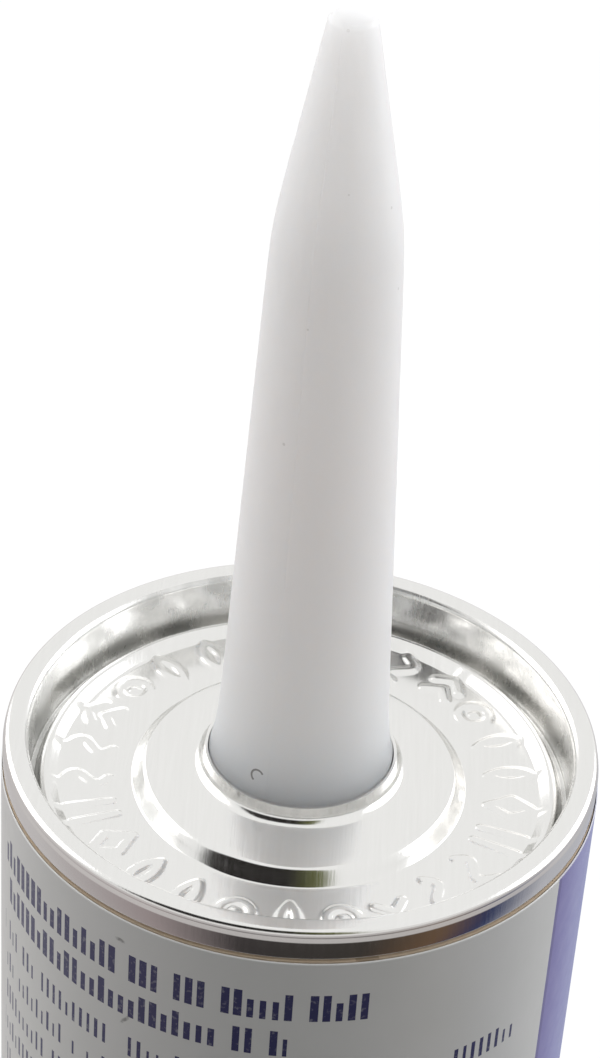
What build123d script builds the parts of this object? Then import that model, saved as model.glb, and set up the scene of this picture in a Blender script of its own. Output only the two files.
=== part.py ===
from build123d import *
import os

# A sealant cartridge: a spiral wound paperboard tube with a printed paper label, closed at the
# top by a tinplate end that is double seamed onto it, with a moulded nozzle trapped in the end's
# collar and a piston that closes the open bottom. It stands on the tube's open bottom edge:
# origin at the middle of that edge, +Z up along the common axis, millimetres.

# ---- driving dimensions -------------------------------------------------------------------------

# the tube and its label
tube_radius = 25.2            # outside of the bare tube, and of the seam above it
tube_wall = 1.4
rim_height = 216.0            # bottom edge to the top of the seam
label_thickness = 0.2
label_bottom_gap = 1.0        # bare tube left under the label
label_top_gap = 0.1           # between the label's top edge and the seam

# the double seam
sheet = 0.25                  # tinplate
hook_wall = 0.7               # the tube's wall, ironed thin inside the seam
seam_height = 2.95
seam_bend = 0.5               # centre line radius of the seam's two top bends
seam_roll = 0.3               # centre line radius of the bends at the seam's foot
cover_hook_depth = 1.2        # from the seam's top down to the end of the metal hook
compound_height = 0.5         # room under the end of the paper hook
neck_run = 1.6                # height of the slope that leads into the neck

# the tinplate end, measured down from the top of the seam
countersink_depth = 5.7       # lowest point of the groove inside the wall
groove_width = 0.7
bead_depth = 4.3              # top of the round bead between groove and panel
bead_width = 1.3
bead_rounding = 0.25          # height that the bead's bend takes off its corner
panel_depth = 5.0
step_foot_radius = 14.2
step_run = 1.0                # how far the step leans in
step_top_depth = 3.75
plateau_rise = 0.7            # from the step to the foot of the collar
collar_top_radius = 7.85      # inside edge, tight round the nozzle
collar_lean = 0.5             # how far the collar's foot stands out from its lip
collar_bend = 1.1             # centre line radius where collar meets plateau
collar_top_depth = 1.75

# the ring of pressed marks in the panel
mark_count = 26
mark_inner_margin = 1.75      # from the foot of the step
mark_outer_margin = 0.2       # from the foot of the bead
mark_width = 1.5
mark_relief = 0.35
mark_wall = 0.3

# the nozzle, heights measured up from the top of the seam
nozzle_flare = 0.6            # collar's lip to the straight cone carried down to the seam's level
nozzle_flare_height = 3.4     # where the cone leaves the flare at the collar
nozzle_shoulder_height = 48.4
nozzle_shoulder_radius = 5.05
nozzle_shoulder_blend = 40.0
nozzle_tip_height = 66.0
nozzle_tip_radius = 1.95
nozzle_tip_round = 0.55
nozzle_wall = 1.15
nozzle_tip_wall = 1.6
nozzle_tip_thinning = 0.2     # how much thinner the wall is beside the tip
flange_margin = 1.0           # from the top of the step
flange_thickness = 1.2
flange_seat_gap = 0.05

# the foil seal welded under the nozzle
seal_margin = 2.2             # from the edge of the nozzle's flange
seal_thickness = 0.12

# the piston
plunger_recess = 18.0         # bottom edge of the tube to the back of the piston
plunger_height = 18.0
plunger_clearance = 0.05      # each side, at the two wiping lips
plunger_relief = 0.5          # how far the skirt stands back between the lips
plunger_lip = 2.4             # height of each lip
plunger_wall = 1.2
plunger_crown = 1.6
plunger_round = 2.0           # inside corner between skirt and crown

# the filling
headspace = 0.3               # under the groove
travel_left = 1.0             # filling that stays above the piston at the end of its travel

# ---- derived sizes ------------------------------------------------------------------------------

tube_bore_radius = tube_radius - tube_wall
neck_radius = tube_radius - 2 * sheet - 2 * hook_wall           # inside of the necked tube
chuck_radius = neck_radius - sheet                              # inside of the end's wall
chuck_mid = chuck_radius + sheet / 2
cover_hook_mid = neck_radius + hook_wall + sheet / 2
seam_mid = tube_radius - sheet / 2
seam_top_mid = rim_height - sheet / 2
seam_foot = rim_height - seam_height
seam_foot_mid = seam_foot + sheet / 2
body_hook_end = seam_foot + sheet + compound_height
neck_foot = rim_height - max(countersink_depth, panel_depth) - sheet    # the full bore ends here
fill_top = neck_foot - headspace
plunger_top = plunger_recess + plunger_height
plunger_travel = fill_top - plunger_top - travel_left


def below_rim(depth):
    """Height of the top face of the end's sheet, as the height of its centre line."""
    return rim_height - depth - sheet / 2


# ---- tube body ----------------------------------------------------------------------------------

# Paperboard wall. Its top is necked to hug the end's wall, ironed thin and curled outwards and
# down, which is the hook that the tinplate is folded round.
hook_top = rim_height - sheet
hook_outer = tube_radius - sheet
hook_bend = seam_bend - sheet / 2
with BuildPart() as tube_body:
    with BuildSketch(Plane.XZ) as tube_section:
        with BuildLine():
            Polyline(
                (tube_bore_radius, 0),
                (tube_radius, 0),
                (tube_radius, seam_foot),
                (neck_radius + hook_wall, seam_foot),
                (neck_radius + hook_wall, hook_top - hook_wall),
                (hook_outer - hook_wall, hook_top - hook_wall),
                (hook_outer - hook_wall, body_hook_end),
                (hook_outer, body_hook_end),
                (hook_outer, hook_top),
                (neck_radius, hook_top),
                (neck_radius, neck_foot + neck_run),
                (tube_bore_radius, neck_foot),
                close=True,
            )
        make_face()
        top_corners = tube_section.vertices().group_by(Axis.Y)[-1]
        fillet(top_corners, hook_bend)
    revolve(axis=Axis.Z)
tube_body.part.label = "tube_body"

# ---- label --------------------------------------------------------------------------------------

# Printed paper glued round the tube, trimmed just under the seam and just above the bottom edge.
label_height = seam_foot - label_top_gap - label_bottom_gap
with BuildPart() as label:
    with BuildSketch(Plane.XY.offset(label_bottom_gap)):
        Circle(tube_radius + label_thickness)
        Circle(tube_radius, mode=Mode.SUBTRACT)
    extrude(amount=label_height)
label.part.label = "label"

# ---- tinplate end -------------------------------------------------------------------------------

# One pressing of constant thickness. The centre line of its section runs from the collar's lip,
# over plateau, step, panel, bead and groove, up the wall and round the seam to the metal hook.
bead_mid = chuck_mid - groove_width - bead_width / 2
panel_radius = bead_mid - bead_width
step_top_radius = step_foot_radius - step_run
collar_foot_radius = collar_top_radius + collar_lean
groove_foot_mid = below_rim(countersink_depth)
with BuildPart() as top_end:
    with BuildSketch(Plane.XZ):
        with BuildLine():
            centre_line = FilletPolyline(
                (collar_top_radius + sheet / 2, rim_height - collar_top_depth),
                (collar_foot_radius, below_rim(step_top_depth - plateau_rise)),
                (step_top_radius, below_rim(step_top_depth)),
                (step_foot_radius, below_rim(panel_depth)),
                (panel_radius, below_rim(panel_depth)),
                (bead_mid, below_rim(bead_depth - bead_rounding)),
                (chuck_mid - groove_width, groove_foot_mid),
                (chuck_mid, groove_foot_mid),
                (chuck_mid, seam_top_mid),
                (seam_mid, seam_top_mid),
                (seam_mid, seam_foot_mid),
                (cover_hook_mid, seam_foot_mid),
                (cover_hook_mid, rim_height - cover_hook_depth),
                radius=(collar_bend, 0.5, 0.4, 0.6, 0.35, 0.25, 0.25, seam_bend, seam_bend, seam_roll, seam_roll),
            )
        trace(centre_line, line_width=sheet)
    revolve(axis=Axis.Z)
    panel_top = rim_height - panel_depth
    mark_inner = step_foot_radius + mark_inner_margin
    mark_length = panel_radius - mark_outer_margin - mark_inner
    mark_ring_radius = mark_inner + mark_length / 2
    with BuildSketch(Plane.XY.offset(panel_top - sheet / 2)):
        with PolarLocations(mark_ring_radius, mark_count):
            SlotOverall(mark_length, mark_width)
    extrude(amount=sheet / 2 + mark_relief)
    with BuildSketch(Plane.XY.offset(panel_top - sheet)):
        with PolarLocations(mark_ring_radius, mark_count):
            SlotOverall(mark_length - 2 * mark_wall, mark_width - 2 * mark_wall)
    extrude(amount=mark_relief, mode=Mode.SUBTRACT)
top_end.part.label = "top_end"

# ---- seam compound ------------------------------------------------------------------------------

# Rubber sealing compound, a ring that fills the seam under the end of the paper hook.
compound_corner = seam_roll - sheet / 2 + 0.05     # clear of the sheet's inside bend
with BuildPart() as seam_compound:
    with BuildSketch(Plane.XZ) as compound_section:
        with Locations((hook_outer - hook_wall / 2, seam_foot + sheet + compound_height / 2)):
            Rectangle(hook_wall, compound_height)
        chamfer(compound_section.vertices().group_by(Axis.Y)[0], compound_corner)
    revolve(axis=Axis.Z)
seam_compound.part.label = "seam_compound"

# ---- nozzle -------------------------------------------------------------------------------------

# Moulded polyethylene, hollow, its tip closed until it is cut. The flange at its foot is held
# between the plateau of the tinplate end and the filling.
flange_radius = step_top_radius - flange_margin
flange_root_radius = collar_foot_radius + collar_bend


def under_plateau(radius):
    """Height of the flange's top face at a radius, just clear of the sloping plateau above it."""
    share = (step_top_radius - radius) / (step_top_radius - collar_foot_radius)
    return rim_height - step_top_depth - sheet - flange_seat_gap + plateau_rise * share


flange_foot = under_plateau(flange_radius) - flange_thickness
hub_radius = collar_top_radius - flange_seat_gap
nozzle_root_radius = collar_top_radius - nozzle_flare
cone_slope = (nozzle_root_radius - nozzle_shoulder_radius) / nozzle_shoulder_height
flare_radius = nozzle_root_radius - cone_slope * nozzle_flare_height
shoulder_z = rim_height + nozzle_shoulder_height
tip_z = rim_height + nozzle_tip_height
bore_root_radius = nozzle_root_radius - nozzle_wall
with BuildPart() as nozzle:
    with BuildSketch(Plane.XZ) as nozzle_section:
        with BuildLine():
            foot = Polyline(
                (0, tip_z),
                (0, flange_foot),
                (flange_radius, flange_foot),
                (flange_radius, under_plateau(flange_radius)),
                (flange_root_radius, under_plateau(flange_root_radius)),
                (hub_radius, under_plateau(flange_root_radius)),
                (hub_radius, rim_height - collar_top_depth),
            )
            cone = Polyline(
                (flare_radius, rim_height + nozzle_flare_height),
                (nozzle_shoulder_radius, shoulder_z),
                (nozzle_tip_radius, tip_z),
                foot @ 0,
            )
            TangentArc(cone @ 0, foot @ 1, tangent=(cone_slope, -1))
        make_face()
        shoulder = nozzle_section.vertices().sort_by_distance((nozzle_shoulder_radius, shoulder_z))[0]
        fillet(shoulder, nozzle_shoulder_blend)
        tip_edge = nozzle_section.vertices().sort_by_distance((nozzle_tip_radius, tip_z))[0]
        fillet(tip_edge, nozzle_tip_round)
    revolve(axis=Axis.Z)
    with BuildSketch(Plane.XZ):
        with BuildLine():
            Polyline(
                (0, flange_foot),
                (bore_root_radius, flange_foot),
                (bore_root_radius, rim_height),
                (nozzle_shoulder_radius - nozzle_wall, shoulder_z),
                (nozzle_tip_radius - nozzle_wall + nozzle_tip_thinning, tip_z - nozzle_tip_wall),
                (0, tip_z - nozzle_tip_wall),
                close=True,
            )
        make_face()
    revolve(axis=Axis.Z, mode=Mode.SUBTRACT)
nozzle.part.label = "nozzle"

# ---- puncture seal ------------------------------------------------------------------------------

# Foil disc welded across the mouth of the nozzle, pierced before use.
seal_radius = flange_radius - seal_margin
with BuildPart() as puncture_seal:
    with BuildSketch(Plane.XY.offset(flange_foot - seal_thickness)):
        Circle(seal_radius)
    extrude(amount=seal_thickness)
puncture_seal.part.label = "puncture_seal"

# ---- plunger ------------------------------------------------------------------------------------

# Moulded cup piston, open to the back, with a wiping lip at each end of its skirt.
lip_radius = tube_bore_radius - plunger_clearance
skirt_radius = lip_radius - plunger_relief
cup_radius = skirt_radius - plunger_wall
with BuildPart() as plunger:
    with BuildSketch(Plane.XZ):
        with BuildLine():
            Polyline(
                (0, plunger_recess),
                (lip_radius, plunger_recess),
                (lip_radius, plunger_recess + plunger_lip - plunger_relief),
                (skirt_radius, plunger_recess + plunger_lip),
                (skirt_radius, plunger_top - plunger_lip),
                (lip_radius, plunger_top - plunger_lip + plunger_relief),
                (lip_radius, plunger_top),
                (0, plunger_top),
                close=True,
            )
        make_face()
    revolve(axis=Axis.Z)
    with BuildSketch(Plane.XZ) as cup_section:
        with BuildLine():
            Polyline(
                (0, plunger_recess),
                (cup_radius, plunger_recess),
                (cup_radius, plunger_top - plunger_crown),
                (0, plunger_top - plunger_crown),
                close=True,
            )
        make_face()
        cup_corner = cup_section.vertices().sort_by_distance((cup_radius, plunger_top))[0]
        fillet(cup_corner, plunger_round)
    revolve(axis=Axis.Z, mode=Mode.SUBTRACT)
plunger.part.label = "plunger"

# ---- sealant ------------------------------------------------------------------------------------

# The filling, a stiff paste that takes the tube's bore from the piston up to the end.
with BuildPart() as sealant:
    with BuildSketch(Plane.XY.offset(plunger_top)):
        Circle(tube_bore_radius)
    extrude(amount=fill_top - plunger_top)
sealant.part.label = "sealant"

# ---- output -------------------------------------------------------------------------------------

os.makedirs("parts", exist_ok=True)
for piece in (tube_body, label, top_end, seam_compound, nozzle, puncture_seal, plunger, sealant):
    export_step(piece.part, f"parts/{piece.part.label}.step")
print("plunger travel", round(plunger_travel, 3), "filling top", round(fill_top, 3))
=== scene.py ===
import math

import bmesh
import bpy
import numpy as np
from mathutils import Matrix, Vector


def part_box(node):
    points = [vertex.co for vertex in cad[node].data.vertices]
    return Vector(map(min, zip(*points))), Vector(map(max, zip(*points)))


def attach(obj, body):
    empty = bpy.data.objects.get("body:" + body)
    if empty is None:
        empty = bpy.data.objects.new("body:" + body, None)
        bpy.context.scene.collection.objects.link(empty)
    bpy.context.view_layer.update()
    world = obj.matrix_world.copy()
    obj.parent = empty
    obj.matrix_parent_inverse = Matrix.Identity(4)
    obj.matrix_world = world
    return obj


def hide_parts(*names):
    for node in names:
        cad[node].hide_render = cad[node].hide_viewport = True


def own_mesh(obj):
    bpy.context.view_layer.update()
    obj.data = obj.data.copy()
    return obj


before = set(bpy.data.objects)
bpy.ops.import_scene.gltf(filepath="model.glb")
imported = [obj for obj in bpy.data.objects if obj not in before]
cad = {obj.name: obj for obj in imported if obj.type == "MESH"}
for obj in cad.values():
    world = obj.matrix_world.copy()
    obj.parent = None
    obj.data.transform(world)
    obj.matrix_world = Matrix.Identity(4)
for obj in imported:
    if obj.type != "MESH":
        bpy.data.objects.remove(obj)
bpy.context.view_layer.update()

MM = 0.001

# ---- paperboard tube ----------------------------------------------------------------------------
# The body is a spiral-wound paperboard tube: narrow plies wound at a steep angle and glued, with a
# thin pale lining inside. It is cut square at the bottom and curled into the seam at the top.
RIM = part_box("top_end")[1].z
TUBE_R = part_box("tube_body")[1].x
BORE_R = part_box("sealant")[1].x


def new_material(name, roughness, **sockets):
    """A node material with a Principled shader whose plain sockets are set from the keywords."""
    material = bpy.data.materials.new(name)
    material.use_nodes = True
    shader = material.node_tree.nodes["Principled BSDF"]
    shader.inputs["Roughness"].default_value = roughness
    for socket, value in sockets.items():
        shader.inputs[socket.replace("_", " ").title()].default_value = value
    return material, material.node_tree, shader


def add(tree, kind, *links, **settings):
    """Adds a node, sets its properties, and fills its inputs in order from values or sockets."""
    node = tree.nodes.new(kind)
    for name, value in settings.items():
        setattr(node, name, value)
    for index, value in enumerate(links):
        if isinstance(value, bpy.types.NodeSocket):
            tree.links.new(value, node.inputs[index])
        elif value is not None:
            node.inputs[index].default_value = value
    return node


def calc(tree, operation, *values):
    return add(tree, "ShaderNodeMath", *values, operation=operation).outputs[0]


def blend_colour(tree, factor, first, second):
    """Mixes two colours, given as RGB triples or sockets, by a factor."""
    node = tree.nodes.new("ShaderNodeMix")
    node.data_type = "RGBA"
    for socket, value in zip((node.inputs[0], node.inputs[6], node.inputs[7]), (factor, first, second)):
        if isinstance(value, bpy.types.NodeSocket):
            tree.links.new(value, socket)
        elif isinstance(value, (int, float)):
            socket.default_value = value
        else:
            socket.default_value = (*value, 1)
    return node.outputs[2]


def ramp(tree, value, *stops):
    """A colour ramp through (position, grey or RGB) stops."""
    node = add(tree, "ShaderNodeValToRGB", value)
    elements = node.color_ramp.elements
    while len(elements) < len(stops):
        elements.new(0.5)
    for element, (position, colour) in zip(elements, stops):
        element.position = position
        rgb = (colour,) * 3 if isinstance(colour, (int, float)) else colour
        element.color = (*rgb, 1)
    return node.outputs[0]


def noise(tree, scale, stretch=(1, 1, 1), detail=3.0, roughness=0.5):
    """Noise in object space, in features per metre, stretched along the axes."""
    place = add(tree, "ShaderNodeTexCoord").outputs["Object"]
    mapped = add(tree, "ShaderNodeMapping", place)
    mapped.inputs["Scale"].default_value = stretch
    node = add(tree, "ShaderNodeTexNoise", mapped.outputs[0])
    node.inputs["Scale"].default_value = scale
    node.inputs["Detail"].default_value = detail
    node.inputs["Roughness"].default_value = roughness
    return node.outputs["Fac"]


def bump(tree, shader, height, distance, strength=1.0):
    node = add(tree, "ShaderNodeBump")
    node.inputs["Strength"].default_value = strength
    node.inputs["Distance"].default_value = distance
    tree.links.new(height, node.inputs["Height"])
    tree.links.new(node.outputs[0], shader.inputs["Normal"])


def around(tree):
    """(angle round the tube from its front, in radians, distance from the axis, height)"""
    place = add(tree, "ShaderNodeSeparateXYZ", add(tree, "ShaderNodeTexCoord").outputs["Object"])
    x, y, z = place.outputs
    angle = calc(tree, "ARCTAN2", x, calc(tree, "MULTIPLY", y, -1.0))
    radius = calc(tree, "SQRT", calc(tree, "ADD", calc(tree, "MULTIPLY", x, x), calc(tree, "MULTIPLY", y, y)))
    return angle, radius, z


def dress(piece, material):
    piece.data.materials.clear()
    piece.data.materials.append(material)


paperboard, tree, shader = new_material("wound_paperboard", 0.85)
angle, radius, height = around(tree)
ply_width = 0.072
turn = calc(tree, "ADD", calc(tree, "DIVIDE", height, ply_width), calc(tree, "DIVIDE", angle, math.tau))
ply_edge = calc(tree, "ABSOLUTE", calc(tree, "SUBTRACT", calc(tree, "FRACT", turn), 0.5))
ply_line = calc(tree, "GREATER_THAN", ply_edge, 0.494)
fibres = noise(tree, 900, (1, 1, 0.25), 5, 0.65)
board = blend_colour(tree, fibres, (0.50, 0.385, 0.265), (0.66, 0.55, 0.42))
board = blend_colour(tree, calc(tree, "MULTIPLY", ply_line, 0.55), board, (0.26, 0.19, 0.12))
lining = blend_colour(tree, noise(tree, 260, (1, 1, 3)), (0.60, 0.60, 0.58), (0.70, 0.70, 0.69))
lining = blend_colour(tree, calc(tree, "MULTIPLY", ply_line, 0.3), lining, (0.4, 0.4, 0.4))
inside = calc(tree, "LESS_THAN", radius, BORE_R + 0.00012)
tree.links.new(blend_colour(tree, inside, board, lining), shader.inputs["Base Color"])
tree.links.new(calc(tree, "SUBTRACT", 0.88, calc(tree, "MULTIPLY", inside, 0.45)), shader.inputs["Roughness"])
bump(tree, shader, calc(tree, "SUBTRACT", fibres, calc(tree, "MULTIPLY", ply_line, 0.8)), 0.00012, 0.6)
dress(cad["tube_body"], paperboard)

# ---- printed label ------------------------------------------------------------------------------
# Coated paper glued round the tube, with its lap at the back. The print is a block of short dark
# bars at the front, under the seam, and a tall lilac panel with a dark keyline that goes round to
# the back. The paper is trimmed just below the seam.
LABEL_LOW, LABEL_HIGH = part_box("label")
LABEL_R = LABEL_HIGH.x
lap_step = 0.10 * MM
label_sides = 384
trim_round = 0.06 * MM


def label_mesh():
    """One wrap of paper as a spiral: its last edge lies over its first, at the back."""
    thickness = LABEL_R - TUBE_R - lap_step
    section = [
        (0.0, LABEL_LOW.z),
        (thickness - trim_round, LABEL_LOW.z),
        (thickness, LABEL_LOW.z + trim_round),
        (thickness, LABEL_HIGH.z - trim_round),
        (thickness - trim_round, LABEL_HIGH.z),
        (0.0, LABEL_HIGH.z),
    ]
    mesh = bpy.data.meshes.new("label_wrap")
    points, faces = [], []
    for side in range(label_sides + 1):
        share = side / label_sides
        turn_angle = math.pi * (2 * share - 1)
        foot = TUBE_R + lap_step * share
        for depth, z in section:
            r = foot + depth
            points.append((r * math.sin(turn_angle), -r * math.cos(turn_angle), z))
    count = len(section)
    for side in range(label_sides):
        a, b = side * count, (side + 1) * count
        faces += [(a + k, b + k, b + (k + 1) % count, a + (k + 1) % count) for k in range(count)]
    faces.append(tuple(reversed(range(count))))
    faces.append(tuple(label_sides * count + k for k in range(count)))
    mesh.from_pydata(points, [], faces)
    return mesh


def finish_mesh(mesh, smooth_angle=35):
    """Welds and turns a closed mesh's faces outwards, and shades it smooth up to an angle."""
    work = bmesh.new()
    work.from_mesh(mesh)
    bmesh.ops.remove_doubles(work, verts=work.verts, dist=1e-7)
    bmesh.ops.recalc_face_normals(work, faces=work.faces)
    work.to_mesh(mesh)
    work.free()
    mesh.shade_smooth()
    mesh.set_sharp_from_angle(angle=math.radians(smooth_angle))


def place_piece(name, mesh, material, body, node):
    """Puts a finished mesh in the scene in place of a CAD node."""
    piece = bpy.data.objects.new(name, mesh)
    bpy.context.scene.collection.objects.link(piece)
    dress(piece, material)
    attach(piece, body)
    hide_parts(node)
    return piece


def bar_row_group():
    """A node group that masks one printed row: runs of short upright bars with gaps between runs."""
    group = bpy.data.node_groups.new("printed_bar_row", "ShaderNodeTree")
    for name in ("Along", "Down", "Start", "End", "Top", "Tall", "Pitch", "Weight", "Seed"):
        group.interface.new_socket(name=name, in_out="INPUT", socket_type="NodeSocketFloat")
    group.interface.new_socket(name="Mask", in_out="OUTPUT", socket_type="NodeSocketFloat")
    given = group.nodes.new("NodeGroupInput").outputs
    out = group.nodes.new("NodeGroupOutput")
    cell_place = calc(group, "DIVIDE", given["Along"], given["Pitch"])
    cell = calc(group, "FLOOR", cell_place)
    across = calc(group, "ABSOLUTE", calc(group, "SUBTRACT", calc(group, "FRACT", cell_place), 0.5))
    cell_key = calc(group, "ADD", calc(group, "MULTIPLY", cell, 1.37), given["Seed"])
    chance = add(group, "ShaderNodeTexWhiteNoise", noise_dimensions="1D")
    group.links.new(cell_key, chance.inputs["W"])
    value = chance.outputs["Value"]
    short = calc(group, "MULTIPLY", calc(group, "LESS_THAN", value, 0.34), 0.3)
    filled = calc(group, "LESS_THAN", value, 0.86)
    wide = calc(group, "ADD", given["Weight"], calc(group, "MULTIPLY", value, 0.12))
    bar = calc(group, "LESS_THAN", across, wide)
    depth = calc(group, "DIVIDE", calc(group, "SUBTRACT", given["Down"], given["Top"]), given["Tall"])
    lower = calc(group, "GREATER_THAN", depth, short)
    upper = calc(group, "LESS_THAN", depth, 1.0)
    begun = calc(group, "GREATER_THAN", given["Along"], given["Start"])
    ended = calc(group, "LESS_THAN", given["Along"], given["End"])
    mask = filled
    for part in (bar, lower, upper, begun, ended):
        mask = calc(group, "MULTIPLY", mask, part)
    group.links.new(mask, out.inputs["Mask"])
    return group


label_paper, tree, shader = new_material("coated_label_paper", 0.38, coat_weight=0.25, coat_roughness=0.2)
angle, radius, height = around(tree)
along = calc(tree, "MULTIPLY", angle, LABEL_R * 1000)
down = calc(tree, "MULTIPLY", calc(tree, "SUBTRACT", RIM, height), 1000.0)
bar_row = bar_row_group()
print_mask = None
first_rows = [(-31.5, 7.2, 6.4, 2.8, 1.02, 0.24), (-31.5, 0.6, 10.4, 2.7, 1.02, 0.24)]
body_rows = [(-32.0, 21.8 - 3.5 * (row % 3), 15.3 + 3.75 * row, 2.1, 0.88, 0.12) for row in range(9)]
foot_rows = [(-32.0, 12.0 + 4 * (row % 2), 58.0 + 3.2 * row, 1.5, 0.72, 0.13) for row in range(14)]
for seed, (start, end, top, tall, pitch, weight) in enumerate(first_rows + body_rows + foot_rows):
    row = add(tree, "ShaderNodeGroup", node_tree=bar_row)
    facts = dict(Start=start, End=end, Top=top, Tall=tall, Pitch=pitch, Weight=weight, Seed=seed * 7.31)
    for name, value in facts.items():
        row.inputs[name].default_value = value
    tree.links.new(along, row.inputs["Along"])
    tree.links.new(down, row.inputs["Down"])
    mask = row.outputs["Mask"]
    print_mask = mask if print_mask is None else calc(tree, "MAXIMUM", print_mask, mask)
panel_edge, panel_end, keyline = 26.3, 74.0, 0.5
turned = calc(tree, "MODULO", calc(tree, "ADD", along, math.tau * LABEL_R * 1000), math.tau * LABEL_R * 1000)
in_panel = calc(
    tree,
    "MULTIPLY",
    calc(tree, "GREATER_THAN", turned, panel_edge),
    calc(tree, "LESS_THAN", turned, panel_end),
)
from_keyline = calc(tree, "ABSOLUTE", calc(tree, "SUBTRACT", turned, panel_edge + keyline / 2))
at_edge = calc(tree, "LESS_THAN", from_keyline, keyline / 2)
panel_share = calc(tree, "DIVIDE", calc(tree, "SUBTRACT", turned, panel_edge), panel_end - panel_edge)
lilac = ramp(
    tree,
    panel_share,
    (0.0, (0.17, 0.145, 0.40)),
    (0.10, (0.24, 0.24, 0.52)),
    (0.35, (0.20, 0.26, 0.58)),
    (1.0, (0.10, 0.14, 0.42)),
)
paper_tone = blend_colour(tree, noise(tree, 160, detail=2), (0.60, 0.60, 0.575), (0.645, 0.64, 0.625))
surface = blend_colour(tree, in_panel, paper_tone, lilac)
surface = blend_colour(tree, at_edge, surface, (0.12, 0.10, 0.30))
ink_wear = ramp(tree, noise(tree, 2600, detail=4), (0.30, 0.75), (0.45, 1.0))
surface = blend_colour(tree, calc(tree, "MULTIPLY", print_mask, ink_wear), surface, (0.028, 0.028, 0.105))


def scuff(tree, along, down, centre, size, slant):
    """Mask of a short worn streak on the wrap, centred at (along, down) in millimetres."""
    u = calc(tree, "SUBTRACT", along, centre[0])
    v = calc(tree, "SUBTRACT", calc(tree, "SUBTRACT", down, centre[1]), calc(tree, "MULTIPLY", u, slant))
    u = calc(tree, "DIVIDE", u, size[0])
    v = calc(tree, "DIVIDE", v, size[1])
    far = calc(tree, "ADD", calc(tree, "MULTIPLY", u, u), calc(tree, "MULTIPLY", v, v))
    grain = noise(tree, 3500, detail=5, roughness=0.7)
    return ramp(tree, calc(tree, "ADD", far, calc(tree, "MULTIPLY", grain, 1.2)), (0.62, 1.0), (1.0, 0.0))


for centre, size, slant in (((-14.0, 5.3), (0.9, 0.35), 0.05), ((-13.3, 13.6), (0.8, 0.5), -1.1)):
    worn = scuff(tree, along, down, centre, size, slant)
    surface = blend_colour(tree, calc(tree, "MULTIPLY", worn, 0.7), surface, (0.11, 0.105, 0.10))
trim = ramp(
    tree,
    calc(tree, "SUBTRACT", down, (RIM - LABEL_HIGH.z) * 1000),
    (0.10, (0.80, 0.80, 0.79)),
    (0.22, (0.0, 0.0, 0.0)),
)
surface = blend_colour(tree, calc(tree, "MULTIPLY", trim, 0.8), surface, (0.80, 0.80, 0.79))
tree.links.new(surface, shader.inputs["Base Color"])
tree.links.new(ramp(tree, noise(tree, 700), (0.2, 0.33), (0.8, 0.46)), shader.inputs["Roughness"])
bump(tree, shader, noise(tree, 420, (1, 1, 0.4), 4), 0.00005, 0.5)
wrap = label_mesh()
finish_mesh(wrap)
place_piece("label_wrap", wrap, label_paper, "cartridge", "label")

# ---- tinplate end -------------------------------------------------------------------------------
# One pressing of bright tinplate, double seamed onto the tube. It has a collar round the nozzle, a
# step, a flat panel with a ring of pressed marks, a round bead, a groove and an upright wall.
SHEET = 0.25 * MM
END_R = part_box("top_end")[1].x
NOZZLE_HUB_R = 7.8 * MM
wall_r = END_R - 2.15 * MM
marks_r, marks_half = 18.25 * MM, 2.35 * MM
mark_count, mark_height = 26, 0.17 * MM
end_sides = mark_count * 28
seam_low = RIM - 2.95 * MM


def bend(points, radii, step=0.09 * MM):
    """Rounds a section's corners with arcs, each divided into short runs."""
    path = [Vector(points[0])]
    for before, corner, after, radius in zip(points, points[1:], points[2:], radii):
        corner = Vector(corner)
        back, ahead = (Vector(before) - corner).normalized(), (Vector(after) - corner).normalized()
        half = back.angle(ahead) / 2
        reach = radius / math.tan(half)
        centre = corner + (back + ahead).normalized() * radius / math.sin(half)
        start, stop = corner + back * reach - centre, corner + ahead * reach - centre
        sweep = start.angle(stop)
        count = max(3, round(sweep * radius / step))
        for k in range(count + 1):
            t = k / count
            spoke = start * math.sin((1 - t) * sweep) + stop * math.sin(t * sweep)
            path.append(centre + spoke / math.sin(sweep))
    path.append(Vector(points[-1]))
    return path


def skin(path, side):
    """The section moved sideways by half the sheet, to its left (+1) or right (-1)."""
    moved = []
    for k, point in enumerate(path):
        along_path = (path[min(k + 1, len(path) - 1)] - path[max(k - 1, 0)]).normalized()
        moved.append(point + Vector((-along_path.y, along_path.x)) * side * SHEET / 2)
    return moved


def arc(centre, radius, start, stop, count=14):
    turns = [math.radians(start + (stop - start) * k / count) for k in range(count + 1)]
    return [(centre[0] + radius * math.cos(a), centre[1] + radius * math.sin(a)) for a in turns]


# pressed marks as strokes in millimetres, (across, outwards) from the middle of each mark's place
leaf = arc((-2.3, 0), 3.0, -40, 40) + arc((2.3, 0), 3.0, 140, 220)
lozenge = [(0, 2.0), (1.25, 0), (0, -2.0), (-1.25, 0), (0, 2.0)]
wave = [(0.75 * math.sin(k * 0.42), -2.0 + k * 0.25) for k in range(17)]
chevrons = [[(-1.3, -0.9), (0, 0.2), (1.3, -0.9)], [(-1.3, 0.9), (0, 2.0), (1.3, 0.9)]]
tally = [[(x, -1.9), (x, 1.9)] for x in (-0.95, 0.95)]
ringed_dot = [arc((0, 0), 1.35, 0, 360, 24), [(0, -0.1), (0, 0.1)]]
mark_kinds = [[leaf], [lozenge], tally, [wave], chevrons, ringed_dot]
stroke_half, stroke_soft = 0.20, 0.24


def stroke_distance(u, v, strokes):
    """Distance from each point to the nearest of a mark's strokes, in millimetres."""
    nearest = np.full(u.shape, 99.0)
    for stroke in strokes:
        for (ax, ay), (bx, by) in zip(stroke, stroke[1:]):
            dx, dy = bx - ax, by - ay
            t = np.clip(((u - ax) * dx + (v - ay) * dy) / (dx * dx + dy * dy), 0, 1)
            nearest = np.minimum(nearest, np.hypot(u - ax - t * dx, v - ay - t * dy))
    return nearest


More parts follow.
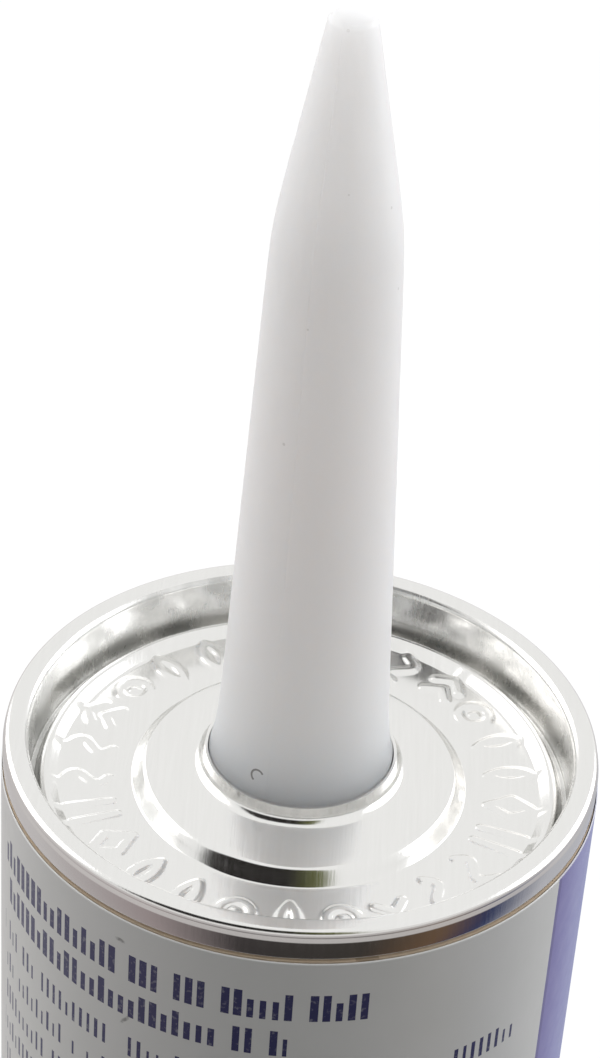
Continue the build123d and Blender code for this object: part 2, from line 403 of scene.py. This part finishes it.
def mark_relief(radii, angles):
    """Height of the pressed marks over a grid of radii and angles, in metres."""
    pitch = math.tau / mark_count
    relief = np.zeros((len(radii), len(angles)))
    place = np.round(angles / pitch).astype(int) % mark_count
    off = (angles + pitch / 2) % pitch - pitch / 2
    for index in range(mark_count):
        here = np.where(place == index)[0]
        u, v = np.meshgrid(off[here] * marks_r * 1000, (radii - marks_r) * 1000)
        kind = mark_kinds[(index * 5 + index // 4) % len(mark_kinds)]
        gap = stroke_distance(u, v, kind) - stroke_half
        rise = np.clip(1 - gap / (2 * stroke_soft), 0, 1)
        rise = rise * rise * (3 - 2 * rise)
        relief[:, here] = mark_height * rise
    swell = np.exp(-((radii - marks_r) / marks_half) ** 4)
    return relief + 0.00003 * swell[:, None] * np.sin(angles * 5 + 1)[None, :]


def end_mesh():
    def depth(mm):
        return RIM - mm * MM - SHEET / 2

    plateau_top, plateau_foot, panel_depth, bead_depth, groove_depth = 3.05, 3.75, 5.0, 4.05, 5.7
    mid = wall_r + SHEET / 2
    seam_mid = END_R - SHEET / 2
    bead = mid - 1.35 * MM
    hook = END_R - 1.075 * MM
    points = [
        (NOZZLE_HUB_R + 0.22 * MM, RIM - 1.72 * MM),
        (8.35 * MM, depth(plateau_top)),
        (13.2 * MM, depth(plateau_foot)),
        (14.2 * MM, depth(panel_depth)),
        (bead - 1.3 * MM, depth(panel_depth)),
        (bead, depth(bead_depth)),
        (mid - 0.7 * MM, depth(groove_depth)),
        (mid, depth(groove_depth)),
        (mid, RIM - SHEET / 2),
        (seam_mid - 0.14 * MM, RIM - SHEET / 2),
        (seam_mid - 0.10 * MM, RIM - 0.62 * MM),
        (seam_mid, RIM - 1.0 * MM),
        (seam_mid, seam_low + SHEET / 2),
        (hook, seam_low + SHEET / 2),
        (hook, RIM - 1.2 * MM),
    ]
    radii = [r * MM for r in (1.1, 0.55, 0.45, 0.8, 0.4, 0.25, 0.25, 0.6, 0.42, 0.1, 0.5, 0.34, 0.3)]
    path = bend(points, radii)
    dense = [path[0]]
    for a, b in zip(path, path[1:]):
        on_panel = a.x > 14 * MM and b.x < bead and abs(a.y - b.y) < 0.05 * MM
        parts = max(1, math.ceil((b - a).length / (0.13 * MM if on_panel else 0.9 * MM)))
        dense += [a.lerp(b, k / parts) for k in range(1, parts + 1)]
    upper = np.array([tuple(p) for p in skin(dense, 1)])
    lower = np.array([tuple(p) for p in skin(path, -1)])[::-1]
    angles = np.arange(end_sides) * math.tau / end_sides
    rings = np.vstack([upper, lower])
    lift = np.zeros((len(rings), end_sides))
    lift[: len(upper)] = mark_relief(upper[:, 0], angles) * (upper[:, :1] < bead) * (upper[:, :1] > 14.6 * MM)
    x = rings[:, :1] * np.sin(angles)[None, :]
    y = -rings[:, :1] * np.cos(angles)[None, :]
    z = rings[:, 1:] + lift
    co = np.stack([x, y, z], -1).reshape(-1, 3)
    count = len(rings)
    ring = np.arange(count)
    a = (ring[:, None] * end_sides + np.arange(end_sides)[None, :])
    b = (ring[:, None] * end_sides + (np.arange(end_sides)[None, :] + 1) % end_sides)
    c, d = np.roll(b, -1, 0), np.roll(a, -1, 0)
    quads = np.stack([a, b, c, d], -1).reshape(-1, 4)
    mesh = bpy.data.meshes.new("tinplate_end")
    mesh.from_pydata(co.tolist(), [], quads.tolist())
    finish_mesh(mesh, 50)
    return mesh


tinplate, tree, shader = new_material("bright_tinplate", 0.16, metallic=1.0)
grain = noise(tree, 420, (9, 0.35, 1), 6, 0.6)
blotch = noise(tree, 190, (1, 1, 1), 3, 0.55)
angle, radius, height = around(tree)
metal = blend_colour(tree, grain, (0.86, 0.855, 0.84), (0.93, 0.925, 0.915))
# Painted reflection: blotches of darker, rougher metal on the groove and upright wall stand in for dark things
# mirrored there.
outside_groove = calc(tree, "GREATER_THAN", radius, wall_r - 0.9 * MM)
inside_seam = calc(tree, "LESS_THAN", radius, wall_r + 0.3 * MM)
wall_band = calc(tree, "MULTIPLY", outside_groove, inside_seam)
painted_wall_reflection = calc(tree, "MULTIPLY", wall_band, ramp(tree, blotch, (0.40, 0.75), (0.62, 0.10)))
metal = blend_colour(tree, painted_wall_reflection, metal, (0.52, 0.52, 0.505))
outer_band = calc(tree, "GREATER_THAN", radius, END_R - 0.22 * MM)
metal = blend_colour(tree, calc(tree, "MULTIPLY", outer_band, 0.5), metal, (0.60, 0.57, 0.56))
tree.links.new(metal, shader.inputs["Base Color"])
reflection_patch_rough = calc(tree, "MULTIPLY", painted_wall_reflection, 0.22)
rough = calc(tree, "ADD", ramp(tree, grain, (0.3, 0.11), (0.75, 0.20)), reflection_patch_rough)
tree.links.new(rough, shader.inputs["Roughness"])
bump(tree, shader, grain, 0.00002, 0.35)
place_piece("tinplate_end", end_mesh(), tinplate, "cartridge", "top_end")

# ---- seam compound and puncture seal ------------------------------------------------------------
# The dark lining compound cured inside the seam, and the foil disc welded under the nozzle.
compound, tree, shader = new_material("seam_rubber", 0.8)
rubber = blend_colour(tree, noise(tree, 800), (0.030, 0.030, 0.032), (0.055, 0.055, 0.058))
tree.links.new(rubber, shader.inputs["Base Color"])
bump(tree, shader, noise(tree, 1500), 0.0001, 0.4)
dress(cad["seam_compound"], compound)

foil, tree, shader = new_material("seal_foil", 0.3, metallic=1.0)
wrinkles = noise(tree, 350, detail=6, roughness=0.65)
foil_tone = blend_colour(tree, wrinkles, (0.74, 0.75, 0.77), (0.88, 0.88, 0.89))
tree.links.new(foil_tone, shader.inputs["Base Color"])
bump(tree, shader, wrinkles, 0.0002, 0.5)
dress(cad["puncture_seal"], foil)

# ---- nozzle -------------------------------------------------------------------------------------
# Injection-moulded natural polyethylene, milky and a little see-through. A long slow cone, a
# rounded shoulder and a quicker cone to the closed tip, with a flange trapped under the collar.
tip_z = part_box("nozzle")[1].z
flange_z, flange_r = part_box("nozzle")[0].z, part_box("nozzle")[1].x
nozzle_sides = 160


def cone_radius(z):
    """Outside radius at a height above the seam, in millimetres."""
    slow = 7.25 - 0.0455 * z
    quick = 14.03 - 0.1855 * z
    soft = 0.16
    joined = -soft * math.log(math.exp(-slow / soft) + math.exp(-quick / soft))
    flare = 0.62 * math.exp(-max(0.0, z + 1.9) / 1.7)
    return joined + flare


def nozzle_mesh():
    rim_mm, tip_mm = RIM * 1000, (tip_z - RIM) * 1000
    tip_round, root_r = 0.6, 7.75
    foot_mm, edge_mm = flange_z * 1000, flange_r * 1000
    section = [(0.0, foot_mm), (edge_mm - 0.2, foot_mm), (edge_mm, foot_mm + 0.2), (edge_mm, rim_mm - 4.0)]
    section += [(9.4, rim_mm - 3.6), (root_r, rim_mm - 3.5), (root_r, rim_mm - 1.95)]
    root_heights, slow_heights = np.linspace(-1.85, 6, 26), np.linspace(6.6, 40, 40)
    heights = np.concatenate([root_heights, slow_heights, np.linspace(40.5, tip_mm - 0.9, 60)])
    section += [(min(cone_radius(z), root_r + 0.05), rim_mm + z) for z in heights]
    edge, tip_dome = cone_radius(tip_mm - tip_round), 0.12
    for k in range(9):
        a = math.radians(90 * k / 8)
        shoulder_z = rim_mm + tip_mm - tip_round - tip_dome
        section.append((edge - tip_round * (1 - math.cos(a)), shoulder_z + tip_round * math.sin(a)))
    face_r = edge - tip_round
    section += [(face_r * s, rim_mm + tip_mm - tip_dome * s * s) for s in (0.8, 0.55, 0.3, 0.0)]
    work = bmesh.new()
    verts = [work.verts.new((r * MM, 0, z * MM)) for r, z in section]
    edges = [work.edges.new(pair) for pair in zip(verts, verts[1:])]
    turning = dict(cent=(0, 0, 0), axis=(0, 0, 1), angle=math.tau, steps=nozzle_sides)
    bmesh.ops.spin(work, geom=verts + edges, use_duplicate=False, **turning)
    mesh = bpy.data.meshes.new("nozzle_moulding")
    work.to_mesh(mesh)
    work.free()
    finish_mesh(mesh, 60)
    return mesh


polyethylene, tree, shader = new_material(
    "milky_polyethylene", 0.40, subsurface_weight=1.0, subsurface_scale=0.022
)
shader.inputs["Subsurface Radius"].default_value = (1.0, 0.92, 0.86)
angle, radius, height = around(tree)
up = calc(tree, "DIVIDE", calc(tree, "SUBTRACT", height, RIM), tip_z - RIM)
milky = ramp(
    tree,
    up,
    (0.0, (0.745, 0.755, 0.765)),
    (0.12, (0.775, 0.775, 0.775)),
    (0.45, (0.815, 0.795, 0.785)),
    (0.80, (0.80, 0.795, 0.79)),
    (1.0, (0.74, 0.74, 0.735)),
)
cloud = noise(tree, 75, (1, 1, 0.35), 3)
milky = blend_colour(tree, calc(tree, "MULTIPLY", cloud, 0.10), milky, (0.62, 0.62, 0.63))
speck = add(tree, "ShaderNodeTexVoronoi", add(tree, "ShaderNodeTexCoord").outputs["Object"])
speck.inputs["Scale"].default_value = 260
dust = calc(tree, "MULTIPLY", calc(tree, "LESS_THAN", speck.outputs["Distance"], 0.035), 0.35)
milky = blend_colour(tree, dust, milky, (0.40, 0.39, 0.37))
hook_u = calc(tree, "SUBTRACT", calc(tree, "MULTIPLY", angle, 7450.0 * MM), -3.6)
above_rim = calc(tree, "MULTIPLY", calc(tree, "SUBTRACT", height, RIM), 1000.0)
hook_v = calc(tree, "SUBTRACT", above_rim, 0.2)
hook_square = calc(tree, "ADD", calc(tree, "MULTIPLY", hook_u, hook_u), calc(tree, "MULTIPLY", hook_v, hook_v))
hook_off = calc(tree, "ABSOLUTE", calc(tree, "SUBTRACT", calc(tree, "SQRT", hook_square), 0.55))
hook_ring = calc(tree, "LESS_THAN", hook_off, 0.09)
hook_open = calc(tree, "GREATER_THAN", calc(tree, "SUBTRACT", hook_v, hook_u), -0.2)
hook_mask = calc(tree, "MULTIPLY", hook_ring, hook_open)
milky = blend_colour(tree, calc(tree, "MULTIPLY", hook_mask, 0.75), milky, (0.12, 0.11, 0.10))
tree.links.new(milky, shader.inputs["Base Color"])
tree.links.new(ramp(tree, noise(tree, 900), (0.3, 0.34), (0.7, 0.47)), shader.inputs["Roughness"])
parting = calc(tree, "ABSOLUTE", calc(tree, "SINE", calc(tree, "ADD", angle, 0.35)))
parting_line = ramp(tree, parting, (0.006, 1.0), (0.02, 0.0))
skin_relief = calc(tree, "ADD", calc(tree, "MULTIPLY", noise(tree, 1300, detail=4), 0.5), parting_line)
bump(tree, shader, skin_relief, 0.00003, 0.5)
moulding = nozzle_mesh()
place_piece("nozzle_moulding", moulding, polyethylene, "cartridge", "nozzle")

# ---- plunger ------------------------------------------------------------------------------------
# A white moulded cup in the open bottom of the tube, with a wiping lip at each end of its skirt.
# Faint turning rings and a gate mark show on the face that the push plate meets.
plunger_plastic, tree, shader = new_material(
    "plunger_polyethylene", 0.45, subsurface_weight=0.15, subsurface_scale=0.003
)
angle, radius, height = around(tree)
rings = calc(tree, "SINE", calc(tree, "MULTIPLY", radius, math.tau / (0.9 * MM)))
gate = calc(tree, "LESS_THAN", radius, 1.6 * MM)
white = blend_colour(tree, noise(tree, 300), (0.74, 0.74, 0.72), (0.80, 0.80, 0.785))
white = blend_colour(tree, calc(tree, "MULTIPLY", gate, 0.4), white, (0.55, 0.55, 0.54))
tree.links.new(white, shader.inputs["Base Color"])
bump(tree, shader, calc(tree, "ADD", rings, noise(tree, 1200)), 0.00004, 0.5)
dress(cad["plunger"], plunger_plastic)

# ---- sealant ------------------------------------------------------------------------------------
# The white paste that fills the tube. It is driven out as the plunger rises, so it flattens
# against the end.
paste, tree, shader = new_material("sealant_paste", 0.45, subsurface_weight=0.1, subsurface_scale=0.002)
stir = noise(tree, 130, (1, 1, 2), 4)
tree.links.new(blend_colour(tree, stir, (0.76, 0.76, 0.74), (0.84, 0.84, 0.825)), shader.inputs["Base Color"])
bump(tree, shader, stir, 0.0005, 0.4)
fill_mesh = cad["sealant"].data.copy()
finish_mesh(fill_mesh)
fill = place_piece("sealant_fill", fill_mesh, paste, "cartridge", "sealant")
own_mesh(fill)

# ---- floor, light and camera --------------------------------------------------------------------
# A floor that the camera sees plain and pale, under a soft white surround. The surround is dim towards the
# front, where the camera stands, so bright metal has something dark to show.
# Glossy rays see the floor as a painted reflection: dark, brown and navy patches round the cartridge, paler
# further out.
floor_mesh = bpy.data.meshes.new("floor")
floor_half = 6.0
corners = [(x * floor_half, y * floor_half, 0) for x, y in ((-1, -1), (1, -1), (1, 1), (-1, 1))]
floor_mesh.from_pydata(corners, [], [(0, 1, 2, 3)])
floor = bpy.data.objects.new("floor", floor_mesh)
bpy.context.scene.collection.objects.link(floor)
floor_paint = bpy.data.materials.new("pale_floor")
floor_paint.use_nodes = True
tree = floor_paint.node_tree
tree.nodes.clear()
rays = add(tree, "ShaderNodeLightPath")
angle, radius, height = around(tree)
matt = add(tree, "ShaderNodeBsdfDiffuse", (0.30, 0.30, 0.30, 1))
white_glow = add(tree, "ShaderNodeEmission", (1, 1, 1, 1), 1.22)
round_turn = calc(tree, "ADD", calc(tree, "DIVIDE", angle, math.tau), 0.5)
# Painted reflection: the glowing colour that glossy rays see in the floor, by angle round the cartridge.
mirrored = ramp(
    tree,
    round_turn,
    (0.20, (0.62, 0.60, 0.60)),
    (0.36, (0.36, 0.31, 0.31)),
    (0.45, (0.05, 0.045, 0.045)),
    (0.58, (0.05, 0.045, 0.04)),
    (0.66, (0.16, 0.10, 0.06)),
    (0.72, (0.025, 0.04, 0.12)),
    (0.80, (0.55, 0.56, 0.60)),
)
far_share = ramp(tree, radius, (0.32, 0.0), (0.52, 0.75))
mirrored = blend_colour(tree, far_share, mirrored, (0.75, 0.73, 0.72))
mirror_glow = add(tree, "ShaderNodeEmission", mirrored, 1.0)
seen = add(tree, "ShaderNodeMixShader", calc(tree, "MULTIPLY", rays.outputs["Is Camera Ray"], 0.78))
tree.links.new(matt.outputs[0], seen.inputs[1])
tree.links.new(white_glow.outputs[0], seen.inputs[2])
whole = add(tree, "ShaderNodeMixShader", rays.outputs["Is Glossy Ray"])
tree.links.new(seen.outputs[0], whole.inputs[1])
tree.links.new(mirror_glow.outputs[0], whole.inputs[2])
tree.links.new(whole.outputs[0], add(tree, "ShaderNodeOutputMaterial").inputs[0])
dress(floor, floor_paint)

world = bpy.data.worlds.new("soft_surround")
bpy.context.scene.world = world
world.use_nodes = True
tree = world.node_tree
tree.nodes.clear()
rays = add(tree, "ShaderNodeLightPath")
way = add(tree, "ShaderNodeSeparateXYZ", add(tree, "ShaderNodeTexCoord").outputs["Generated"])
side = calc(tree, "ARCTAN2", way.outputs[0], calc(tree, "MULTIPLY", way.outputs[1], -1.0))
lift = way.outputs[2]


def between(value, low, high, soft):
    """1 between two limits, with soft edges."""
    rise = calc(tree, "DIVIDE", calc(tree, "SUBTRACT", value, low), soft)
    fall = calc(tree, "DIVIDE", calc(tree, "SUBTRACT", high, value), soft)
    rise, fall = (calc(tree, "MINIMUM", calc(tree, "MAXIMUM", end, 0.0), 1.0) for end in (rise, fall))
    return calc(tree, "MULTIPLY", rise, fall)


dark_patch = calc(
    tree,
    "MULTIPLY",
    between(side, math.radians(-66), math.radians(30), 0.12),
    between(lift, 0.38, 0.93, 0.06),
)
patch_tint = ramp(
    tree,
    calc(tree, "ADD", calc(tree, "DIVIDE", side, math.tau), 0.5),
    (0.50, (0.020, 0.018, 0.017)),
    (0.56, (0.13, 0.14, 0.05)),
)
mirrored = blend_colour(tree, dark_patch, (0.90, 0.90, 0.89), patch_tint)
dim_front = calc(
    tree,
    "MULTIPLY",
    between(side, math.radians(-74), math.radians(66), 0.45),
    between(lift, -1.0, 0.86, 0.25),
)
lit = blend_colour(tree, dim_front, (1.02, 1.025, 1.04), (0.13, 0.128, 0.125))
sky = blend_colour(tree, rays.outputs["Is Glossy Ray"], lit, mirrored)
sky = blend_colour(tree, rays.outputs["Is Camera Ray"], sky, (1, 1, 1))
background = add(tree, "ShaderNodeBackground", sky, 1.0)
tree.links.new(background.outputs[0], add(tree, "ShaderNodeOutputWorld").inputs[0])

for name, place, size, power, tint in (
    ("left_softbox", (-0.75, 0.35, 0.60), 1.0, 3.2, (1.0, 0.98, 0.97)),
    ("right_softbox", (0.80, 0.30, 0.50), 1.0, 4.0, (0.97, 0.98, 1.0)),
):
    lamp = bpy.data.lights.new(name, "AREA")
    lamp.shape = "DISK"
    lamp.size = size
    lamp.energy = power
    lamp.color = tint
    lamp_object = bpy.data.objects.new(name, lamp)
    lamp_object.location = place
    aim = Vector((0, 0, RIM)) - Vector(place)
    lamp_object.rotation_euler = aim.to_track_quat("-Z", "Y").to_euler()
    bpy.context.scene.collection.objects.link(lamp_object)

yaw, pitch, roll = (math.radians(a) for a in (-0.39, 34.52, -3.91))
ahead = Vector((math.sin(yaw) * math.cos(pitch), math.cos(yaw) * math.cos(pitch), -math.sin(pitch)))
level = Vector((math.cos(yaw), -math.sin(yaw), 0))
below = ahead.cross(level)
camera_x = level * math.cos(roll) + below * math.sin(roll)
camera_y = -(below * math.cos(roll) - level * math.sin(roll))
camera_data = bpy.data.cameras.new("camera")
camera_data.sensor_width = 36.0
camera_data.lens = 101.43
camera_data.clip_start = 0.01
camera_back, camera_rise = 0.19796, 0.15685
camera_turn = Matrix((camera_x, camera_y, -ahead)).transposed().to_4x4()
camera = bpy.data.objects.new("camera", camera_data)
camera.matrix_world = Matrix.Translation((0, -camera_back, RIM + camera_rise)) @ camera_turn
bpy.context.scene.collection.objects.link(camera)
bpy.context.scene.camera = camera
bpy.context.scene.view_settings.view_transform = "Standard"
